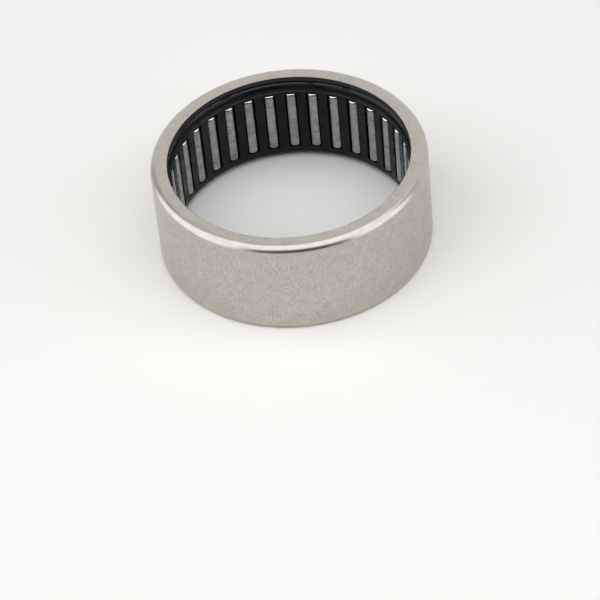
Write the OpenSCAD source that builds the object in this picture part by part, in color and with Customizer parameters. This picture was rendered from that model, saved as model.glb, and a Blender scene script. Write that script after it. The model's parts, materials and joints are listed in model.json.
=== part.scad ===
// Drawn-cup needle roller bearing
// A thin drawn steel cup with turned-in ends holds a pressed steel cage and a ring of needle rollers.
// The shaft runs straight on the needles, and the cup is pressed into a plain housing bore.
// Z is the bearing's axis. Z = 0 is the face of the rolled end, which the bearing stands on.

/* [Main sizes] */
// Diameter of the shaft, which is the circle inside the needles
shaft_d = 40; // [30:0.5:60]
// Width of the cup over both ends
cup_width = 18; // [16.5:0.25:24]
// Thickness of the cup's wall behind the needles
cup_wall = 0.97; // [0.8:0.01:1.4]

/* [Needles] */
// Number of needles
needle_count = 34; // [24:1:36]
// Diameter of a needle
needle_d = 2.5; // [2.2:0.05:2.75]
// Length of a needle
needle_l = 11.8; // [9:0.1:13]
// Rounding of a needle's end edges
needle_edge_r = 0.4; // [0.1:0.05:0.5]

/* [Flat lip end] */
// Thickness of the flat lip
flat_lip_t = 0.9; // [0.6:0.05:1.2]
// Radial gap between the shaft and the flat lip
flat_lip_gap = 0.55; // [0.3:0.05:0.9]
// Outside rounding at the flat lip
flat_corner_r = 1.25; // [0.6:0.05:1.6]

/* [Rolled end] */
// Thickness of the rolled edge
rolled_lip_t = 0.4; // [0.3:0.05:0.9]
// How far the rolled edge reaches in from the raceway
rolled_lip_reach = 0.85; // [0.5:0.05:1.2]
// Outside rounding at the rolled edge
rolled_corner_r = 0.8; // [0.5:0.05:1.2]

/* [Cup details] */
// Rounding inside the cup, between the raceway and each lip
raceway_corner_r = 0.3; // [0.1:0.05:0.4]
// Rounding of the lips' inner edges
lip_edge_r = 0.15; // [0.05:0.01:0.2]

/* [Cage] */
// Thickness of the cage's sheet
cage_t = 0.85; // [0.6:0.05:1]
// Radial gap between the shaft and the cage's bars
cage_bore_gap = 0.12; // [0.1:0.01:0.3]
// How far the end rings lie back from the bars
ring_setback = 0.18; // [0.05:0.01:0.25]
// How far the bars' pressed-in face runs on past each end of the pockets
bar_run = 0.35; // [0.2:0.05:0.6]
// Least straight length of bore between the step and the bend of an end ring
ring_land = 0.1; // [0.05:0.05:0.3]
// Inside radius of the bends where the end rings turn out to the raceway
cage_bend_r = 0.35; // [0.1:0.05:0.5]
// Chamfer on the end rings' outer edges
cage_chamfer = 0.25; // [0.1:0.05:0.4]
// How far each side of a pocket's mouth reaches in front of its needle
needle_catch = 0.2; // [0.1:0.02:0.3]

/* [Clearances] */
// Radial gap between a needle and the raceway
raceway_gap = 0.03; // [0.02:0.01:0.1]
// Radial gap between a needle and its pocket
pocket_gap = 0.05; // [0.03:0.01:0.1]
// Gap under a needle, which stands near the lower end of its pocket
needle_rest_gap = 0.05; // [0.03:0.01:0.1]
// End play of a needle in its pocket
needle_end_play = 0.25; // [0.15:0.01:0.4]
// Radial gap between the cage and the raceway
cage_gap = 0.18; // [0.1:0.01:0.3]
// Gap between the cage and the rolled edge that it sits on
cage_seat_gap = 0.1; // [0.05:0.01:0.3]
// Gap between the cage and the flat lip
cage_head_gap = 0.25; // [0.1:0.05:0.8]

/* [Hidden] */
$fn = 96;
// Reach of a cutting shape past the surface that it cuts
cut = 1;
// Least inside radius of a bend
least_bend_r = 0.05;

// Radii, from the shaft outwards
shaft_r = shaft_d / 2;
needle_r = needle_d / 2;
needle_pitch_r = shaft_r + needle_r;
raceway_r = needle_pitch_r + needle_r + raceway_gap;
cup_r = raceway_r + cup_wall;
flat_lip_r = shaft_r + flat_lip_gap;
rolled_lip_r = raceway_r - rolled_lip_reach;
cage_bar_r = shaft_r + cage_bore_gap;
cage_ring_r = cage_bar_r + ring_setback;
cage_web_r = cage_ring_r + cage_t;
cage_outer_r = raceway_r - cage_gap;
pocket_r = needle_r + pocket_gap;
pocket_mouth_w = needle_d - 2 * needle_catch;

// Heights, from the rolled end up
cage_bottom = rolled_lip_t + cage_seat_gap;
cage_top = cup_width - flat_lip_t - cage_head_gap;
cage_middle = (cage_bottom + cage_top) / 2;
pocket_l = needle_l + needle_end_play;
pocket_bottom = cage_middle - pocket_l / 2;
pocket_top = cage_middle + pocket_l / 2;
needle_bottom = pocket_bottom + needle_rest_gap;
step_bottom = pocket_bottom - bar_run - ring_setback;
step_top = pocket_top + bar_run + ring_setback;
bend_outer_r = min(cage_t + cage_bend_r, step_bottom - ring_land - cage_bottom);
bend_inner_r = max(bend_outer_r - cage_t, least_bend_r);

// Needles stand at equal angles, the first one on +X
function needle_angle(i) = i * 360 / needle_count;
function needle_name(i) = str("needle_", i < 9 ? "0" : "", i + 1);

// Half section of a disc of radius r from z0 to z1, with its lower rim rounded by r0 and its upper rim by r1
module rounded_disc_section(r, z0, z1, r0, r1) {
    translate([0, z0 + r0]) square([r, z1 - z0 - r0 - r1]);
    translate([0, z0]) square([r - r0, r0]);
    translate([0, z1 - r1]) square([r - r1, r1]);
    translate([r - r0, z0 + r0]) circle(r = r0);
    translate([r - r1, z1 - r1]) circle(r = r1);
}

// What rounding by r takes off an inner edge at (x, z). The material lies outwards. Up is 1 if it lies above.
module edge_rounding(x, z, r, up) difference() {
    translate([x - cut, up > 0 ? z - cut : z - r]) square(r + cut);
    translate([x + r, z + up * r]) circle(r = r);
}

// What a chamfer of size c takes off an outer edge at (x, z). The material lies inwards.
module edge_chamfer(x, z, c, up) polygon([
    [x - c - cut, z - up * cut],
    [x + cut, z - up * cut],
    [x + cut, z + up * (c + cut)]
]);

// Steel cup: the raceway wall, with the flat lip above it and the rolled edge below it
module outer_cup() color("#a8a29a") rotate_extrude() difference() {
    rounded_disc_section(cup_r, 0, cup_width, rolled_corner_r, flat_corner_r);
    rounded_disc_section(raceway_r, rolled_lip_t, cup_width - flat_lip_t, raceway_corner_r, raceway_corner_r);
    translate([0, cage_middle]) square([flat_lip_r, cup_width]);
    translate([0, -cut]) square([rolled_lip_r, cage_middle]);
    edge_rounding(flat_lip_r, cup_width, lip_edge_r, -1);
    edge_rounding(flat_lip_r, cup_width - flat_lip_t, lip_edge_r, 1);
    edge_rounding(rolled_lip_r, rolled_lip_t, lip_edge_r, -1);
    edge_rounding(rolled_lip_r, 0, lip_edge_r, 1);
}

// Room between the cage's turned-out ends, outwards from x and from z0 to z1, with both inner corners rounded
module channel_section(x, z0, z1, r) {
    reach = cage_outer_r - x + cut;
    translate([x, z0 + r]) square([reach, z1 - z0 - 2 * r]);
    translate([x + r, z0]) square([reach, z1 - z0]);
    translate([x + r, z0 + r]) circle(r = r);
    translate([x + r, z1 - r]) circle(r = r);
}

// Room in front of an end ring, from its end at z0 to the step at z1. Up is 1 if the bars lie above the ring.
module ring_front(z0, z1, up) polygon([
    [cage_ring_r, z0 - up * cut],
    [cage_ring_r, z1],
    [cage_bar_r - cut, z1 + up * (ring_setback + cut)],
    [cage_bar_r - cut, z0 - up * cut]
]);

// Room that the bars leave behind them, because they are pressed in towards the shaft
module bar_back() polygon([
    [cage_web_r + cut, step_bottom],
    [cage_web_r, step_bottom],
    [cage_web_r - ring_setback, step_bottom + ring_setback],
    [cage_web_r - ring_setback, step_top - ring_setback],
    [cage_web_r, step_top],
    [cage_web_r + cut, step_top]
]);

// Half section of the cage through a bar: a channel of sheet, open to the raceway, with the bar pressed in
module cage_section() difference() {
    translate([cage_bar_r, cage_bottom]) square([cage_outer_r - cage_bar_r, cage_top - cage_bottom]);
    channel_section(cage_web_r, cage_bottom + cage_t, cage_top - cage_t, bend_inner_r);
    bar_back();
    ring_front(cage_bottom, step_bottom, 1);
    ring_front(cage_top, step_top, -1);
    edge_rounding(cage_ring_r, cage_bottom, bend_outer_r, 1);
    edge_rounding(cage_ring_r, cage_top, bend_outer_r, -1);
    edge_chamfer(cage_outer_r, cage_bottom, cage_chamfer, 1);
    edge_chamfer(cage_outer_r, cage_top, cage_chamfer, -1);
}

// Room for one needle: a pocket that is round behind it, with a narrower mouth towards the shaft
module pocket() {
    translate([needle_pitch_r, 0, pocket_bottom]) cylinder(r = pocket_r, h = pocket_l);
    translate([cage_bar_r - cut, -pocket_mouth_w / 2, pocket_bottom])
        cube([needle_pitch_r - cage_bar_r + cut, pocket_mouth_w, pocket_l]);
}

// Black pressed steel cage that spaces the needles and keeps them parallel to the shaft
module cage() color("#14171c") difference() {
    rotate_extrude() cage_section();
    for (i = [0 : needle_count - 1]) rotate([0, 0, needle_angle(i)]) pocket();
}

// Needle roller number i, with flat ends and rounded end edges
module needle(i) color("#c4c6c8")
    rotate([0, 0, needle_angle(i)]) translate([needle_pitch_r, 0, needle_bottom])
        rotate_extrude() rounded_disc_section(needle_r, 0, needle_l, needle_edge_r, needle_edge_r);

outer_cup();
cage();
for (i = [0 : needle_count - 1])
    needle(i);
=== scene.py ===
import json
import math

import bmesh
import bpy
import numpy as np
from mathutils import Matrix, Vector


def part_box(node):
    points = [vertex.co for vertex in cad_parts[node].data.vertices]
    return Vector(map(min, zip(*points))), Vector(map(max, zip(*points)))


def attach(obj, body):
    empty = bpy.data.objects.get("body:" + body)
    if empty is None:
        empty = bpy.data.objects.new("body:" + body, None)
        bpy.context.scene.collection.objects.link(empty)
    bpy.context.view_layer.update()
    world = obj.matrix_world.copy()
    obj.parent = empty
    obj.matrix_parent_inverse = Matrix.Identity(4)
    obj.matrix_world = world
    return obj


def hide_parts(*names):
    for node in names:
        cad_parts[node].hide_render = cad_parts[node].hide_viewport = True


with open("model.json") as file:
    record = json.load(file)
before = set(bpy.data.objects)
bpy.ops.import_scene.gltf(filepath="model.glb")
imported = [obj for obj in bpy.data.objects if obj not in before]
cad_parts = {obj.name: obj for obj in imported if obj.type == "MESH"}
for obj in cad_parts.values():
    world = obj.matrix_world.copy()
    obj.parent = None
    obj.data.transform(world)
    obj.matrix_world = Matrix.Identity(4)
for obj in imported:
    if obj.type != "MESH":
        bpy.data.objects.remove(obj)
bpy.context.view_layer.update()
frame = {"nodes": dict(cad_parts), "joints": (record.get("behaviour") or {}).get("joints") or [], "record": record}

# Outer cup: deep-drawn from thin case-hardening steel sheet, with the flat lip left at its base, here on top.
# The lower edge is rolled in over the cage. Tumbling makes the outside satin grey, and the die has
# burnished both outside corners. The inside is coloured dark grey: painted shade between cup and cage.
MM = 0.001
cup_low, cup_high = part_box("outer_cup")
cup_radius = cup_high.x
cup_width = cup_high.z - cup_low.z
shaft_seat = next(m for m in frame["record"]["mounts"] if m["name"] == "shaft_seat")
shaft_radius = shaft_seat["dims"]["r_mm"] * MM
cup_wall = 0.97 * MM
raceway_radius = cup_radius - cup_wall
raceway_fillet = 0.3 * MM
flat_lip_gap = 0.55 * MM
flat_lip_bore = shaft_radius + flat_lip_gap
flat_lip_thickness = 0.9 * MM
flat_corner = 1.25 * MM
rolled_lip_reach = 0.85 * MM
rolled_lip_bore = raceway_radius - rolled_lip_reach
rolled_lip_thickness = 0.4 * MM
rolled_corner = 0.8 * MM
lip_edge = 0.15 * MM


def arc(r, z, radius, start, end, steps):
    """Points of an arc in the half section: (r, z) + radius (cos a, sin a). Start and end are in degrees."""
    a = np.radians(np.linspace(start, end, steps + 1))
    return np.stack([r + radius * np.cos(a), z + radius * np.sin(a)], axis=1)


def with_straight_rows(profile, spacing, closed):
    """The profile with its long straight runs divided into n rows: row k lies (1 - cos(pi k / n)) / 2 of the
    way along, so the rows are closer at each end."""
    starts = profile if closed else profile[:-1]
    ends = np.roll(profile, -1, axis=0)[:len(starts)]
    rows = []
    for start, end in zip(starts, ends):
        n = max(1, math.ceil(np.linalg.norm(end - start) / spacing))
        t = (1 - np.cos(np.pi * np.arange(n) / n)) / 2
        rows.append(start + t[:, None] * (end - start))
    if not closed:
        rows.append(profile[-1:])
    return np.concatenate(rows)


def turned(name, profile, sides, centre, closed):
    """A half section carried round an upright line: x = cx + r cos a, y = cy + r sin a, z = z.
    A closed section makes a ring. An open one runs out and down from the top, and flat caps close it."""
    a = 2 * np.pi * np.arange(sides) / sides
    r = profile[:, :1]
    z = np.broadcast_to(profile[:, 1:], (len(profile), sides))
    points = np.stack([centre[0] + r * np.cos(a), centre[1] + r * np.sin(a), z], axis=2)
    index = np.arange(len(profile) * sides).reshape(len(profile), sides)
    below = np.roll(index, -1, axis=0)
    quads = np.stack([below, np.roll(below, -1, axis=1), np.roll(index, -1, axis=1), index], axis=2)
    if not closed:
        quads = quads[:-1]
    faces = quads.reshape(-1, 4).tolist()
    if not closed:
        faces += [index[0].tolist(), index[-1, ::-1].tolist()]
    mesh = bpy.data.meshes.new(name)
    mesh.from_pydata(points.reshape(-1, 3).tolist(), [], faces)
    mesh.polygons.foreach_set("use_smooth", np.ones(len(faces), dtype=bool))
    return mesh


drawn_corner_arc = arc(cup_radius - flat_corner, cup_width - flat_corner, flat_corner, 90, 0, 20)
rolled_corner_arc = arc(cup_radius - rolled_corner, rolled_corner, rolled_corner, 0, -90, 14)
flat_lip_under = cup_width - flat_lip_thickness
fillet_middle = raceway_radius - raceway_fillet
straight_row = 1.2 * MM
flat_shade_edge = 105
rolled_shade_edge = -135
cup_outside = with_straight_rows(np.concatenate([
    arc(flat_lip_bore + lip_edge, cup_width - lip_edge, lip_edge, flat_shade_edge, 90, 1),
    drawn_corner_arc,
    rolled_corner_arc,
    arc(rolled_lip_bore + lip_edge, lip_edge, lip_edge, -90, rolled_shade_edge, 3),
]), straight_row, False)
cup_inside = with_straight_rows(np.concatenate([
    arc(rolled_lip_bore + lip_edge, lip_edge, lip_edge, rolled_shade_edge, -180, 3),
    arc(rolled_lip_bore + lip_edge, rolled_lip_thickness - lip_edge, lip_edge, 180, 90, 5),
    arc(fillet_middle, rolled_lip_thickness + raceway_fillet, raceway_fillet, -90, 0, 8),
    arc(fillet_middle, flat_lip_under - raceway_fillet, raceway_fillet, 0, 90, 8),
    arc(flat_lip_bore + lip_edge, flat_lip_under + lip_edge, lip_edge, -90, -180, 5),
    arc(flat_lip_bore + lip_edge, cup_width - lip_edge, lip_edge, 180, flat_shade_edge, 5),
]), straight_row, False)
cup_profile = np.concatenate([cup_outside[:-1], cup_inside[:-1]])
cup_sides = 384
cup_mesh = turned("cup_shell", cup_profile, cup_sides, (0, 0), True)


def paint_rows(mesh, name, rows, sides):
    """A number for each row of a turned mesh, kept as an attribute that a material reads."""
    values = mesh.attributes.new(name, "FLOAT", "POINT")
    values.data.foreach_set("value", np.repeat(rows, sides).astype(np.float32))


# The burnish is 1 on the outside of each corner and fades out near it.
burnish_fade = 0.5 * MM
corner_points = np.concatenate([drawn_corner_arc, rolled_corner_arc])
corner_distance = np.linalg.norm(cup_profile[:, None] - corner_points[None], axis=2).min(axis=1)
paint_rows(cup_mesh, "burnish", np.clip(1 - corner_distance / burnish_fade, 0, 1), cup_sides)
# This mark is 0 outside and 1 inside, and changes over on the rounding of each lip's edge. It places the
# painted shade, a dark grey, on the inside of the cup.
paint_rows(cup_mesh, "scale", np.arange(len(cup_profile)) >= len(cup_outside) - 1, cup_sides)
# The lip is 1 on the flat lip and fades out down its corner.
lip_fade = 0.25 * MM
lip_depth = cup_width - cup_profile[:, 1]
paint_rows(cup_mesh, "lip", np.clip(1 - lip_depth / lip_fade, 0, 1), cup_sides)


def linear(hex_colour):
    """An sRGB hex colour as linear red, green, blue and alpha."""
    s = np.array([int(hex_colour[i:i + 2], 16) for i in (1, 3, 5)]) / 255
    return (*np.where(s <= 0.04045, s / 12.92, ((s + 0.055) / 1.055) ** 2.4), 1.0)


def add_node(tree, kind, inputs, **settings):
    """Adds a node with its settings. Each input gets a value, or a link where a socket is given."""
    node = tree.nodes.new(kind)
    for name, value in settings.items():
        setattr(node, name, value)
    for name, value in inputs.items():
        if isinstance(value, bpy.types.NodeSocket):
            tree.links.new(value, node.inputs[name])
        else:
            node.inputs[name].default_value = value
    return node


def new_material(name):
    """An empty node material with its output: returns the material, its tree and the output node."""
    material = bpy.data.materials.new(name)
    material.use_nodes = True
    tree = material.node_tree
    tree.nodes.clear()
    return material, tree, tree.nodes.new("ShaderNodeOutputMaterial")


def tumbled_drawn_steel():
    """Tumbled drawn steel: a satin grey with a fine even grain, faint clouds and a few small dark pits.
    Drawing stretches the grain along the axis, and the burnish presses it flatter. Where the inside mark is 1,
    the steel is coloured dark grey, a painted shade for the inside of the cup. The lip is hardly stretched, so
    its grain is round, and it has more pits.
    The grain is drawn about twice as coarse as it is, so that it shows."""
    grain_size = 0.16 * MM
    grain_stretch = 3.5
    lip_grain_size = 0.26 * MM
    grain_depth = 0.012 * MM
    flattening = 0.6
    cloud_size = 1.6 * MM
    cloud_share = 0.2
    darkest_tone = 0.32
    middle_tone = 0.5
    brightest_tone = 0.68
    pit_spacing = 1.3 * MM
    pit_core = 0.078 * MM
    pit_rim = 0.182 * MM
    pit_darkness = 0.5
    pit_depth = 0.8
    wall_unpitted = 0.95
    lip_unpitted = 0.65
    dull_roughness = 0.40
    bright_roughness = 0.28
    burnished_roughness = 0.29
    inside_roughness = 0.45
    material, tree, output = new_material("tumbled_drawn_steel")
    place = add_node(tree, "ShaderNodeTexCoord", {}).outputs["Object"]
    drawn = add_node(tree, "ShaderNodeMapping", {"Vector": place, "Scale": (1, 1, 1 / grain_stretch)})
    grain = add_node(tree, "ShaderNodeTexNoise", {
        "Vector": drawn.outputs["Vector"], "Scale": 1 / grain_size, "Detail": 3.0, "Roughness": 0.7})
    lip_grain = add_node(tree, "ShaderNodeTexNoise",
                         {"Vector": place, "Scale": 1 / lip_grain_size, "Detail": 3.0, "Roughness": 0.7})
    lip = add_node(tree, "ShaderNodeAttribute", {}, attribute_name="lip")
    grain = add_node(tree, "ShaderNodeMix", {
        "Factor": lip.outputs["Fac"], 2: grain.outputs["Fac"], 3: lip_grain.outputs["Fac"]})
    cloud = add_node(tree, "ShaderNodeTexNoise",
                     {"Vector": place, "Scale": 1 / cloud_size, "Detail": 3.0, "Roughness": 0.5})
    burnish = add_node(tree, "ShaderNodeAttribute", {}, attribute_name="burnish")
    pressed = add_node(tree, "ShaderNodeMath",
                       {0: burnish.outputs["Fac"], 1: flattening}, operation="MULTIPLY")
    grain = add_node(tree, "ShaderNodeMix", {
        "Factor": pressed.outputs[0], 2: grain.outputs[0], 3: middle_tone})
    tone = add_node(tree, "ShaderNodeMix", {
        "Factor": cloud_share, 2: grain.outputs[0], 3: cloud.outputs["Fac"]})
    steel = add_node(tree, "ShaderNodeMapRange",
                     {"Value": tone.outputs[0], "From Min": darkest_tone, "From Max": brightest_tone})
    steel = add_node(tree, "ShaderNodeMix", {
        "Factor": steel.outputs["Result"], 6: linear("#a29d95"), 7: linear("#cec9c1")}, data_type="RGBA")
    cells = add_node(tree, "ShaderNodeTexVoronoi", {"Vector": place, "Scale": 1 / pit_spacing})
    pits = add_node(tree, "ShaderNodeMapRange", {
        "Value": cells.outputs["Distance"], "From Min": pit_core / pit_spacing,
        "From Max": pit_rim / pit_spacing, "To Min": pit_darkness, "To Max": 0.0})
    cell = add_node(tree, "ShaderNodeSeparateColor", {"Color": cells.outputs["Color"]})
    unpitted = add_node(tree, "ShaderNodeMix",
                        {"Factor": lip.outputs["Fac"], 2: wall_unpitted, 3: lip_unpitted})
    pitted_cell = add_node(tree, "ShaderNodeMath",
                           {0: cell.outputs["Red"], 1: unpitted.outputs[0]}, operation="GREATER_THAN")
    pits = add_node(tree, "ShaderNodeMath",
                    {0: pits.outputs["Result"], 1: pitted_cell.outputs[0]}, operation="MULTIPLY")
    pitted = add_node(tree, "ShaderNodeMix", {
        "Factor": pits.outputs[0], 6: steel.outputs[2], 7: linear("#4f4b46")}, data_type="RGBA")
    # painted shade: where the inside mark is 1, the steel colour gives way to a dark grey
    scale = add_node(tree, "ShaderNodeAttribute", {}, attribute_name="scale")
    shaded_inside = add_node(tree, "ShaderNodeMix", {
        "Factor": scale.outputs["Fac"], 6: pitted.outputs[2], 7: linear("#404146")}, data_type="RGBA")
    rough = add_node(tree, "ShaderNodeMapRange", {
        "Value": tone.outputs[0], "From Min": darkest_tone, "From Max": brightest_tone,
        "To Min": dull_roughness, "To Max": bright_roughness})
    rough = add_node(tree, "ShaderNodeMix", {
        "Factor": burnish.outputs["Fac"], 2: rough.outputs["Result"], 3: burnished_roughness})
    rough = add_node(tree, "ShaderNodeMix", {
        "Factor": scale.outputs["Fac"], 2: rough.outputs[0], 3: inside_roughness})
    height = add_node(tree, "ShaderNodeMath",
                      {0: pits.outputs[0], 1: -pit_depth, 2: grain.outputs[0]}, operation="MULTIPLY_ADD")
    bump = add_node(tree, "ShaderNodeBump", {
        "Height": height.outputs[0], "Strength": 0.35, "Distance": grain_depth})
    shader = add_node(tree, "ShaderNodeBsdfPrincipled", {
        "Base Color": shaded_inside.outputs[2], "Metallic": 1.0, "Roughness": rough.outputs[0],
        "Normal": bump.outputs["Normal"]})
    tree.links.new(shader.outputs["BSDF"], output.inputs["Surface"])
    return material


def add_piece(name, mesh, material, body, node):
    """Puts a finished mesh in the scene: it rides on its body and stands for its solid."""
    mesh.materials.append(material)
    piece = bpy.data.objects.new(name, mesh)
    bpy.context.scene.collection.objects.link(piece)
    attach(piece, body)
    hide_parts(node)
    return piece


add_piece("cup_shell", cup_mesh, tumbled_drawn_steel(), "cup", "outer_cup")

# Cage: pressed from one strip of thin steel, with its edges turned out to the raceway and a slot punched for
# each needle, then blackened in the furnace. The bars are pressed in a little from the end rings, and each
# slot is narrower towards the shaft, so that its needle goes in from outside and can't fall in.
cage_low, cage_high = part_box("cage")
needle_names = sorted(n for n in frame["nodes"] if n.startswith("needle_"))
needle_count = len(needle_names)
needle_joints = {j["child"]: j for j in frame["joints"]}
needle_low, needle_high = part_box(needle_names[0])
needle_radius = (needle_high.y - needle_low.y) / 2
pitch_radius = shaft_radius + needle_radius
cage_gap = 0.18 * MM
cage_outer = raceway_radius - cage_gap
cage_sheet = 0.85 * MM
cage_bore_gap = 0.12 * MM
bar_face = shaft_radius + cage_bore_gap
bar_back = bar_face + cage_sheet
ring_setback = 0.18 * MM
ring_bore = bar_face + ring_setback
ring_back = ring_bore + cage_sheet
bar_run = 0.35 * MM
bend_inside = 0.35 * MM
bend_outside = bend_inside + cage_sheet
ring_chamfer = 0.25 * MM
pocket_gap = 0.05 * MM
pocket_radius = needle_radius + pocket_gap
needle_rest_gap = 0.05 * MM
needle_head_gap = 0.2 * MM
pocket_bottom = needle_low.z - needle_rest_gap
pocket_top = needle_high.z + needle_head_gap
needle_catch = 0.2 * MM
mouth_half = needle_radius - needle_catch
rub_depth = 0.5 * MM
rub_fade = 0.2 * MM
step_sheen = 0.5
step_guard = 0.06 * MM
weld_distance = 0.001 * MM
sharp_edge = math.radians(32)


def cage_mesh(name, bar_steps, mouth_steps, pocket_rows, wall_steps):
    """Two grids joined at the pockets' edges.
    The body: a closed half section carried round the axis, in columns that follow the mouths' edges. A column
    at u lies at the angle u e in a mouth and e + u (pitch - 2 e) on a bar, where e is the mouth's half angle
    at that row, and the faces over a pocket are left out.
    The pocket: a side curve, straight along the mouth and then round the bore, carried up the needle. Each
    end is closed by rows that run from one side curve to the other."""
    edge_inner = math.asin(mouth_half / bar_face)
    edge_x = (bar_back ** 2 + pitch_radius ** 2 - pocket_radius ** 2) / (2 * pitch_radius)
    edge_outer = math.acos(edge_x / bar_back)
    levels = np.linspace(pocket_bottom, pocket_top, pocket_rows + 1)
    low, high = cage_low.z, cage_high.z
    bar_low, bar_high = pocket_bottom - bar_run, pocket_top + bar_run

    lower_bend = np.concatenate([
        arc(ring_bore + bend_outside, low + bend_outside, bend_outside, -90, -180, 12),
        [(ring_bore, bar_low - ring_setback - step_guard), (ring_bore, bar_low - ring_setback)],
        [(bar_face, bar_low), (bar_face, bar_low + step_guard)],
    ])
    upper_bend = np.concatenate([
        [(bar_face, bar_high - step_guard), (bar_face, bar_high)],
        [(ring_bore, bar_high + ring_setback), (ring_bore, bar_high + ring_setback + step_guard)],
        arc(ring_bore + bend_outside, high - bend_outside, bend_outside, 180, 90, 12),
    ])
    upper_ring = np.concatenate([
        [(cage_outer - ring_chamfer, high), (cage_outer, high - ring_chamfer)],
        [(cage_outer, high - cage_sheet)],
        arc(ring_back + bend_inside, high - cage_sheet - bend_inside, bend_inside, 90, 180, 6),
        [(ring_back, bar_high + ring_setback), (bar_back, bar_high)],
    ])
    lower_ring = np.concatenate([
        [(bar_back, bar_low), (ring_back, bar_low - ring_setback)],
        arc(ring_back + bend_inside, low + cage_sheet + bend_inside, bend_inside, 180, 270, 6),
        [(cage_outer, low + cage_sheet)],
        [(cage_outer, low + ring_chamfer), (cage_outer - ring_chamfer, low)],
    ])
    front_rows = np.stack([np.full_like(levels, bar_face), levels], axis=1)
    back_rows = np.stack([np.full_like(levels, bar_back), levels[::-1]], axis=1)
    inner = np.concatenate([lower_bend, front_rows, upper_bend])
    outer = np.concatenate([upper_ring, back_rows, lower_ring])
    section = np.concatenate([inner, outer])
    edge = np.concatenate([np.full(len(inner), edge_inner), np.full(len(outer), edge_outer)])
    pitch = 2 * np.pi / needle_count
    mouth_u = np.linspace(-1, 1, mouth_steps, endpoint=False)
    bar_u = np.linspace(0, 1, bar_steps, endpoint=False)
    mouth_angle = edge[:, None] * mouth_u
    bar_angle = edge[:, None] + (pitch - 2 * edge[:, None]) * bar_u
    column = np.concatenate([mouth_angle, bar_angle], axis=1)
    turn = pitch * np.arange(needle_count)
    angle = (turn[None, :, None] + column[:, None, :]).reshape(len(section), -1)
    r = section[:, :1]
    z = np.broadcast_to(section[:, 1:], angle.shape)
    body_points = np.stack([r * np.cos(angle), r * np.sin(angle), z], axis=2)
    index = np.arange(angle.size).reshape(angle.shape)
    above = np.roll(index, -1, axis=0)
    quads = np.stack([index, np.roll(index, -1, axis=1), np.roll(above, -1, axis=1), above], axis=2)
    inner_start = len(lower_bend)
    outer_start = len(inner) + len(upper_ring)
    over_pocket = np.zeros(len(section), dtype=bool)
    over_pocket[inner_start:inner_start + pocket_rows] = True
    over_pocket[outer_start:outer_start + pocket_rows] = True
    in_mouth = np.tile(np.arange(mouth_steps + bar_steps) < mouth_steps, needle_count)
    quads = quads[~(over_pocket[:, None] & in_mouth[None, :])]

    bore_start = math.pi - math.asin(mouth_half / pocket_radius)
    bore_end = math.atan2(bar_back * math.sin(edge_outer), edge_x - pitch_radius)
    bore_a = np.linspace(bore_start, bore_end, wall_steps + 1)
    side = np.concatenate([
        [(bar_face * math.cos(edge_inner), mouth_half)],
        np.stack([pitch_radius + pocket_radius * np.cos(bore_a), pocket_radius * np.sin(bore_a)], axis=1),
    ])
    side_r = np.hypot(side[:, 0], side[:, 1])
    side_a = np.arctan2(side[:, 1], side[:, 0])

    def grid(radius, bearing, height):
        """Points and faces of one patch, repeated at every needle."""
        shape = np.broadcast_shapes(radius.shape, bearing.shape, height.shape)
        a = turn[:, None, None] + np.broadcast_to(bearing, shape)
        points = np.stack([radius * np.cos(a), radius * np.sin(a), np.broadcast_to(height, a.shape)], axis=3)
        i = np.arange(a.size).reshape(a.shape)
        patch = np.stack([i[:, :-1, :-1], i[:, 1:, :-1], i[:, 1:, 1:], i[:, :-1, 1:]], axis=3)
        return points.reshape(-1, 3), patch.reshape(-1, 4)

    across = np.linspace(-1, 1, mouth_steps + 1)
    patches = [
        grid(side_r[:, None], side_a[:, None], levels[None, :]),
        grid(side_r[:, None], -side_a[:, None], levels[None, :]),
        grid(side_r[:, None], side_a[:, None] * across[None, :], np.array([[pocket_bottom]])),
        grid(side_r[:, None], side_a[:, None] * across[None, :], np.array([[pocket_top]])),
    ]
    points = [body_points.reshape(-1, 3)]
    faces = [quads]
    used = body_points.size // 3
    for patch_points, patch_faces in patches:
        points.append(patch_points)
        faces.append(patch_faces + used)
        used += len(patch_points)
    mesh = bpy.data.meshes.new(name)
    mesh.from_pydata(np.concatenate(points).tolist(), [], np.concatenate(faces).tolist())
    welded = bmesh.new()
    welded.from_mesh(mesh)
    bmesh.ops.remove_doubles(welded, verts=welded.verts, dist=weld_distance)
    bmesh.ops.delete(welded, geom=[v for v in welded.verts if not v.link_faces], context="VERTS")
    bmesh.ops.recalc_face_normals(welded, faces=welded.faces)
    welded.to_mesh(mesh)
    welded.free()
    mesh.polygons.foreach_set("use_smooth", np.ones(len(mesh.polygons), dtype=bool))
    mesh.set_sharp_from_angle(angle=sharp_edge)

    heights = np.empty(len(mesh.vertices) * 3, dtype=np.float32)
    mesh.vertices.foreach_get("co", heights)
    heights = heights[2::3]
    # A mark near each end and on the steps' edges, read by the material. It is partly wear where the ends rub on
    # the lips, and partly a painted highlight on the lit bends and step edges.
    end_distance = np.minimum(heights - low, high - heights)
    step_middle = np.array([bar_low - ring_setback / 2, bar_high + ring_setback / 2])
    step_distance = np.abs(heights[:, None] - step_middle).min(axis=1)
    on_step = step_distance < ring_setback / 2 + step_guard / 2
    rub_and_sheen = mesh.attributes.new("rub_and_sheen", "FLOAT", "POINT")
    rub_and_sheen.data.foreach_set("value", np.clip((rub_depth - end_distance) / rub_fade, step_sheen * on_step, 1))
    return mesh


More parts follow.
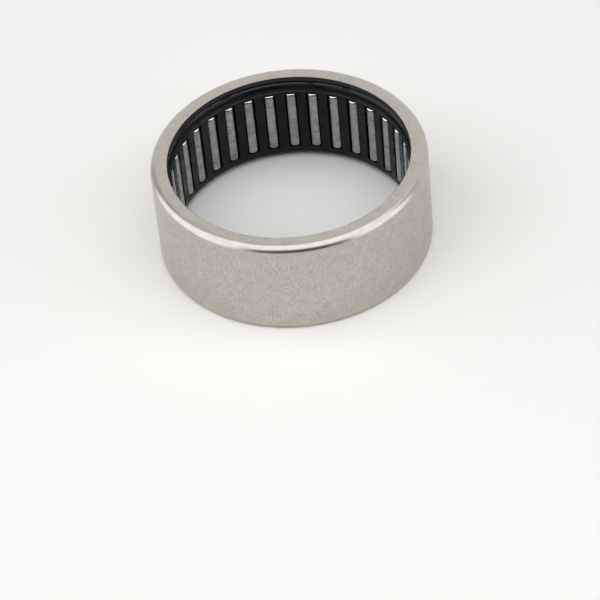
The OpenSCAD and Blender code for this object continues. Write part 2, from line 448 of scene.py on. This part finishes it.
def black_furnace_scale():
    """Steel with a thin black furnace scale: near black and half glossy, finely mottled, under patchy oil.
    Near its ends and on the edges of its steps, most of the scale gives way in patches to dark bare steel, and
    the rest breaks up the highlight. This is partly wear where the ends rub on the lips, and partly a painted
    highlight that brightens the lit lines on the bends and steps."""
    mottle_size = 0.25 * MM
    mottle_depth = 0.012 * MM
    darkest_mottle = 0.42
    lightest_mottle = 0.75
    oil_size = 2.6 * MM
    oily_below = 0.46
    dry_above = 0.56
    oily_roughness = 0.22
    dry_roughness = 0.46
    worn_size = 3.0 * MM
    black_below = 0.40
    bare_above = 0.44
    worn_roughness = 0.25
    material, tree, output = new_material("black_furnace_scale")
    place = add_node(tree, "ShaderNodeTexCoord", {}).outputs["Object"]
    mottle = add_node(tree, "ShaderNodeTexNoise",
                      {"Vector": place, "Scale": 1 / mottle_size, "Detail": 3.0, "Roughness": 0.65})
    oil = add_node(tree, "ShaderNodeTexNoise",
                   {"Vector": place, "Scale": 1 / oil_size, "Detail": 3.0, "Roughness": 0.6})
    patch = add_node(tree, "ShaderNodeTexNoise",
                     {"Vector": place, "Scale": 1 / worn_size, "Detail": 2.0, "Roughness": 0.5})
    rub_and_sheen = add_node(tree, "ShaderNodeAttribute", {}, attribute_name="rub_and_sheen")
    bare = add_node(tree, "ShaderNodeMapRange",
                    {"Value": patch.outputs["Fac"], "From Min": black_below, "From Max": bare_above})
    worn_and_sheen = add_node(tree, "ShaderNodeMath",
                    {0: rub_and_sheen.outputs["Fac"], 1: bare.outputs["Result"]}, operation="MULTIPLY")
    mottled = add_node(tree, "ShaderNodeMapRange", {
        "Value": mottle.outputs["Fac"], "From Min": darkest_mottle, "From Max": lightest_mottle})
    scale = add_node(tree, "ShaderNodeMix", {
        "Factor": mottled.outputs["Result"], 6: linear("#08090b"), 7: linear("#17191d")}, data_type="RGBA")
    # painted highlight, partly wear: dark bare steel in patches on the ends' bends and the steps' edges
    colour = add_node(tree, "ShaderNodeMix", {
        "Factor": worn_and_sheen.outputs[0], 6: scale.outputs[2], 7: linear("#36373c")}, data_type="RGBA")
    rough = add_node(tree, "ShaderNodeMapRange", {
        "Value": oil.outputs["Fac"], "From Min": oily_below, "From Max": dry_above,
        "To Min": oily_roughness, "To Max": dry_roughness})
    rough = add_node(tree, "ShaderNodeMix", {
        "Factor": worn_and_sheen.outputs[0], 2: rough.outputs["Result"], 3: worn_roughness})
    bump = add_node(tree, "ShaderNodeBump", {
        "Height": mottle.outputs["Fac"], "Strength": 0.3, "Distance": mottle_depth})
    shader = add_node(tree, "ShaderNodeBsdfPrincipled", {
        "Base Color": colour.outputs[2], "Metallic": worn_and_sheen.outputs[0], "Roughness": rough.outputs[0],
        "IOR": 1.45, "Specular IOR Level": 0.2, "Normal": bump.outputs["Normal"]})
    tree.links.new(shader.outputs["BSDF"], output.inputs["Surface"])
    return material


cage_ring = cage_mesh("cage_ring", bar_steps=6, mouth_steps=4, pocket_rows=8, wall_steps=12)
cage_piece = add_piece("cage_ring", cage_ring, black_furnace_scale(), "cage", "cage")
edge_break = cage_piece.modifiers.new("edge_break", "BEVEL")
edge_break.width = 0.04 * MM
edge_break.segments = 2
edge_break.limit_method = "ANGLE"
edge_break.angle_limit = math.radians(40)
edge_break.harden_normals = False

# Needle rollers: through-hardened bearing steel, centreless ground and lapped, with flat ends and rounded end
# edges. They stand in the cage's pockets and roll between the cup and the shaft.
needle_edge = 0.4 * MM


def needle_profile(bottom, top):
    """Half section of a needle: from the top face round its edge, down the side and round the lower edge."""
    return with_straight_rows(np.concatenate([
        arc(needle_radius - needle_edge, top - needle_edge, needle_edge, 90, 0, 8),
        arc(needle_radius - needle_edge, bottom + needle_edge, needle_edge, 0, -90, 8),
    ]), straight_row, False)


def lapped_bearing_steel():
    """Ground and lapped steel: a mirror with faint grinding lines round it, under a thin, uneven film of oil. Its
    side is coloured darker than the steel, a painted shade for the dark things it mirrors, and its ends and their
    edges brighter, a painted highlight. The lines are drawn about six times as coarse as they are, so that they
    show."""
    line_size = 0.2 * MM
    line_depth = 0.004 * MM
    line_stretch = 0.15
    oil_size = 1.4 * MM
    oil_share = 0.5
    darkest_tone = 0.38
    brightest_tone = 0.62
    smooth_below = 0.35
    dull_above = 0.65
    smooth_roughness = 0.06
    dull_roughness = 0.14
    material, tree, output = new_material("lapped_bearing_steel")
    place = add_node(tree, "ShaderNodeTexCoord", {}).outputs["Object"]
    round_needle = add_node(tree, "ShaderNodeMapping",
                            {"Vector": place, "Scale": (line_stretch, line_stretch, 1)})
    lines = add_node(tree, "ShaderNodeTexNoise", {
        "Vector": round_needle.outputs["Vector"], "Scale": 1 / line_size, "Detail": 2.0})
    oil = add_node(tree, "ShaderNodeTexNoise",
                   {"Vector": place, "Scale": 1 / oil_size, "Detail": 3.0, "Roughness": 0.6})
    tone = add_node(tree, "ShaderNodeMix", {
        "Factor": oil_share, 2: lines.outputs["Fac"], 3: oil.outputs["Fac"]})
    tone = add_node(tree, "ShaderNodeMapRange",
                    {"Value": tone.outputs[0], "From Min": darkest_tone, "From Max": brightest_tone})
    # painted shade: the side's colours are darker than the steel, for the dark things the side mirrors
    side = add_node(tree, "ShaderNodeMix", {
        "Factor": tone.outputs["Result"], 6: linear("#7d8084"), 7: linear("#a6a8a9")}, data_type="RGBA")
    # painted highlight: the ends and their edges get a brighter colour
    end = add_node(tree, "ShaderNodeAttribute", {}, attribute_name="end")
    colour = add_node(tree, "ShaderNodeMix", {
        "Factor": end.outputs["Fac"], 6: side.outputs[2], 7: linear("#cfd0d0")}, data_type="RGBA")
    rough = add_node(tree, "ShaderNodeMapRange", {
        "Value": oil.outputs["Fac"], "From Min": smooth_below, "From Max": dull_above,
        "To Min": smooth_roughness, "To Max": dull_roughness})
    bump = add_node(tree, "ShaderNodeBump", {
        "Height": lines.outputs["Fac"], "Strength": 0.15, "Distance": line_depth})
    shader = add_node(tree, "ShaderNodeBsdfPrincipled", {
        "Base Color": colour.outputs[2], "Metallic": 1.0, "Roughness": rough.outputs["Result"],
        "Normal": bump.outputs["Normal"]})
    tree.links.new(shader.outputs["BSDF"], output.inputs["Surface"])
    return material


needle_steel = lapped_bearing_steel()
roller_sides = 56
roller_profile = needle_profile(needle_low.z, needle_high.z)
roller_middle = (needle_low.z + needle_high.z) / 2
side_half = (needle_high.z - needle_low.z - needle_edge) / 2
# These rows carry the painted highlight on each needle's ends and their edges.
end_highlight_rows = np.abs(roller_profile[:, 1] - roller_middle) > side_half
for needle in needle_names:
    roller = needle.replace("needle", "roller")
    axis = needle_joints[needle]["pos_m"][:2]
    roller_mesh = turned(roller, roller_profile, roller_sides, axis, False)
    paint_rows(roller_mesh, "end", end_highlight_rows, roller_sides)
    add_piece(roller, roller_mesh, needle_steel, needle, needle)

# Studio: a pale floor that fades out into a white tent, whose left, right and top panels are the soft lamps.
# The tent is open towards the front, where a camera stands, and that is dark in the metal.
floor_solid = 100 * MM
floor_half = 150 * MM
floor_drop = 0.02 * MM
corner = np.array([(-1, -1), (1, -1), (1, 1), (-1, 1)]) * floor_half
floor_mesh = bpy.data.meshes.new("studio_floor")
floor_mesh.from_pydata(np.column_stack([corner, np.full(4, -floor_drop)]).tolist(), [], [(0, 1, 2, 3)])
floor_paint, floor_tree, floor_output = new_material("pale_floor_paint")
floor_place = add_node(floor_tree, "ShaderNodeTexCoord", {}).outputs["Object"]
from_middle = add_node(floor_tree, "ShaderNodeVectorMath", {0: floor_place}, operation="LENGTH")
floor_fade = add_node(floor_tree, "ShaderNodeMapRange", {
    "Value": from_middle.outputs["Value"], "From Min": floor_solid, "From Max": floor_half,
    "To Min": 1.0, "To Max": 0.0}, interpolation_type="SMOOTHSTEP")
floor_shader = add_node(floor_tree, "ShaderNodeBsdfPrincipled", {
    "Base Color": linear("#f3f3f1"), "Roughness": 0.7, "Specular IOR Level": 0.2,
    "Alpha": floor_fade.outputs["Result"]})
floor_tree.links.new(floor_shader.outputs["BSDF"], floor_output.inputs["Surface"])
floor_mesh.materials.append(floor_paint)
floor = bpy.data.objects.new("studio_floor", floor_mesh)
bpy.context.scene.collection.objects.link(floor)


def soft_panel(name, place, facing, width, height):
    """A rectangular lamp with the brightness panel_light all over: a lamp of P watts has P / (pi area)."""
    lamp = bpy.data.lights.new(name, "AREA")
    lamp.shape = "RECTANGLE"
    lamp.size = width
    lamp.size_y = height
    lamp.energy = panel_light * math.pi * width * height
    panel = bpy.data.objects.new(name, lamp)
    panel.location = place
    panel.rotation_mode = "QUATERNION"
    panel.rotation_quaternion = Vector(facing).to_track_quat("-Z", "Y")
    bpy.context.scene.collection.objects.link(panel)


panel_light = 1.5
tent_half = 0.8
tent_top = 0.95
tent_bottom = -0.25
side_middle = (tent_top + tent_bottom) / 2
side_height = tent_top - tent_bottom
top_width = 1.5
top_front, top_back = -1.17, 0.42
left_front, left_back = -0.90, 0.56
right_front, right_back = -1.0, 0.065
soft_panel("top_panel", (0, (top_front + top_back) / 2, tent_top), (0, 0, -1),
           top_width, top_back - top_front)
soft_panel("left_panel", (-tent_half, (left_front + left_back) / 2, side_middle), (1, 0, 0),
           left_back - left_front, side_height)
soft_panel("right_panel", (tent_half, (right_front + right_back) / 2, side_middle), (-1, 0, 0),
           right_back - right_front, side_height)

surround_light = 0.35
backdrop_light = 0.95
backdrop_edge = 0.45
backdrop_full = 0.62
opening_light = 0.15
opening_edge = math.cos(math.radians(42))
opening_full = math.cos(math.radians(31))
fill_light = 0.10
world = bpy.data.worlds.new("white_surround")
bpy.context.scene.world = world
world.use_nodes = True
sky = world.node_tree
sky.nodes.clear()
ray = add_node(sky, "ShaderNodeLightPath", {})
direction = add_node(sky, "ShaderNodeTexCoord", {})
back_bearing = math.radians(162)
back = Vector((math.sin(back_bearing), -math.cos(back_bearing), 0))
towards_back = add_node(sky, "ShaderNodeVectorMath", {
    0: direction.outputs["Generated"], 1: back}, operation="DOT_PRODUCT")
backdrop = add_node(sky, "ShaderNodeMapRange", {
    "Value": towards_back.outputs["Value"], "From Min": backdrop_edge, "From Max": backdrop_full,
    "To Min": surround_light, "To Max": backdrop_light}, interpolation_type="SMOOTHSTEP")
opening = Vector((0, -1, 0))
towards_opening = add_node(sky, "ShaderNodeVectorMath", {
    0: direction.outputs["Generated"], 1: opening}, operation="DOT_PRODUCT")
front = add_node(sky, "ShaderNodeMapRange", {
    "Value": towards_opening.outputs["Value"], "From Min": opening_edge, "From Max": opening_full,
    "To Min": 1.0, "To Max": opening_light}, interpolation_type="SMOOTHSTEP")
tent = add_node(sky, "ShaderNodeMath", {0: backdrop.outputs["Result"], 1: front.outputs["Result"]},
                operation="MULTIPLY")
seen = add_node(sky, "ShaderNodeMix", {
    "Factor": ray.outputs["Is Camera Ray"], 2: tent.outputs[0], 3: 1.0})
mirrored = add_node(sky, "ShaderNodeMath", {
    0: ray.outputs["Is Glossy Ray"], 1: ray.outputs["Is Camera Ray"]}, operation="MAXIMUM")
shown = add_node(sky, "ShaderNodeMath", {
    0: mirrored.outputs[0], 1: ray.outputs["Is Transmission Ray"]}, operation="MAXIMUM")
strength = add_node(sky, "ShaderNodeMix", {"Factor": shown.outputs[0], 2: fill_light, 3: seen.outputs[0]})
background = add_node(sky, "ShaderNodeBackground",
                      {"Color": linear("#ffffff"), "Strength": strength.outputs[0]})
add_node(sky, "ShaderNodeOutputWorld", {"Surface": background.outputs["Background"]})

# Camera: a long lens at the photograph's angle, in front of the bearing and above it. It is aimed at the
# cup's middle, and the pan, tilt and roll then place the bearing in the frame.
view_distance = 511.4 * MM
view_elevation = math.radians(41.416)
view_bearing = math.radians(-1.35)
view_pan = math.radians(0.066)
view_tilt = math.radians(-2.013)
view_roll = math.radians(-5.861)
camera_data = bpy.data.cameras.new("camera")
camera_data.lens = 180
camera_data.sensor_width = 36
camera_data.clip_start = 0.01
camera = bpy.data.objects.new("camera", camera_data)
bpy.context.scene.collection.objects.link(camera)
camera.matrix_world = (
    Matrix.Rotation(view_bearing, 4, "Z")
    @ Matrix.Translation((0, 0, cup_width / 2))
    @ Matrix.Rotation(math.pi / 2 - view_elevation, 4, "X")
    @ Matrix.Translation((0, 0, view_distance))
    @ Matrix.Rotation(view_pan, 4, "Y")
    @ Matrix.Rotation(view_tilt, 4, "X")
    @ Matrix.Rotation(view_roll, 4, "Z")
)
bpy.context.scene.camera = camera
bpy.context.scene.view_settings.view_transform = "Standard"
